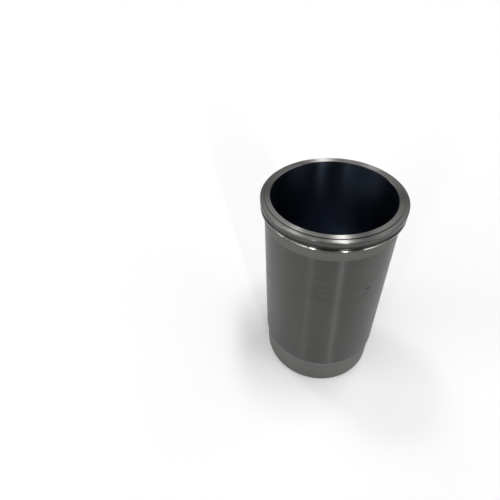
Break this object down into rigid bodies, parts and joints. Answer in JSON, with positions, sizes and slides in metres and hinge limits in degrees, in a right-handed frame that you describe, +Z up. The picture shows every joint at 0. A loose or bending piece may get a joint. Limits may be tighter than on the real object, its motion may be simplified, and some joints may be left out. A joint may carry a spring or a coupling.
{
  "type": "cylinder liner",
  "caption": "Flanged engine cylinder liner: a turned iron tube with a honed bore, a fire lip and grooved flange at the top, and ground locating bands near both ends.",
  "frame": {"origin": "centre of the bottom end face, on the bore axis", "axes": "+Z up the bore axis towards the flange; the part is round, so X and Y are free"},
  "size_m": [0.1439, 0.1438, 0.24],
  "materials": {
    "turned_iron": "fine turned outside, ground bands, cross-hatch honed bore"
  },
  "bodies": {
    "root": {"cylinder_liner": "turned_iron"}
  },
  "joints": []
}
